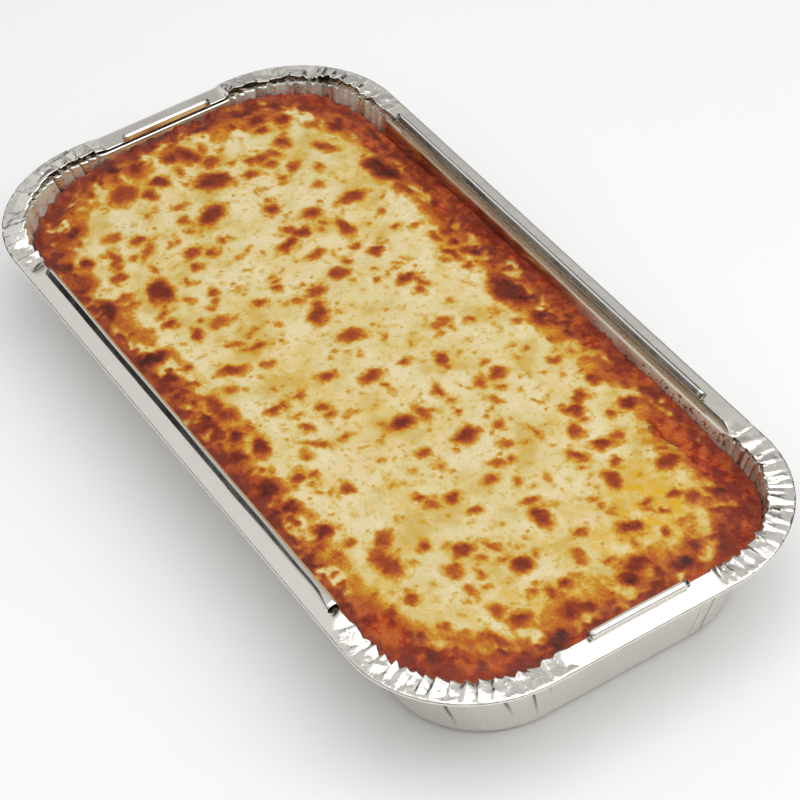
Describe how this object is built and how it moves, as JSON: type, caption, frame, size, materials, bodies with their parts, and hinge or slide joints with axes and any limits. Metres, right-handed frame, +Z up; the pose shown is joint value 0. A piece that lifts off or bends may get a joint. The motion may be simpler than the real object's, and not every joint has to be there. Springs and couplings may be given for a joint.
{
  "type": "foil tray lasagne",
  "caption": "Baked lasagne with browned melted cheese in a rectangular pressed foil tray with pleated corners and folded-in lips.",
  "frame": {"origin": "on the surface that the tray stands on, under the middle of the tray", "axes": "+X along the tray's length, +Y to its right side, +Z up out of the open top"},
  "size_m": [0.3204, 0.1586, 0.0434],
  "materials": {
    "foil": "bright rolled foil",
    "baked_sauce": "oily baked tomato sauce",
    "melted_cheese": "melted and browned, slightly greasy"
  },
  "bodies": {
    "root": {"foil_tray": "foil", "lasagne_filling": "baked_sauce", "melted_cheese": "melted_cheese"}
  },
  "joints": []
}
